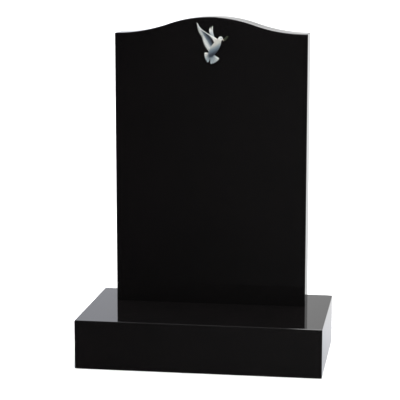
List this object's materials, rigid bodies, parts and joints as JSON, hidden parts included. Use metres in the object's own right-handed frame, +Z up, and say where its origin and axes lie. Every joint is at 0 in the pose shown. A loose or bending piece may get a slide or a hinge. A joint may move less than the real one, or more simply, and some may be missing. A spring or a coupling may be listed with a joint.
{
  "type": "headstone",
  "caption": "Upright polished black granite headstone with an ogee head, set back on a long low base that leaves a clear ledge in front.",
  "frame": {"origin": "centre of the base's underside, on the ground", "axes": "+Z up; -Y is the way the inscription face looks; +X is to the right of someone who faces the stone"},
  "size_m": [0.762, 0.4572, 1.0671],
  "materials": {
    "base_granite": "polished",
    "headstone_granite": "polished"
  },
  "bodies": {
    "root": {"base": "base_granite", "headstone": "headstone_granite"}
  },
  "joints": []
}
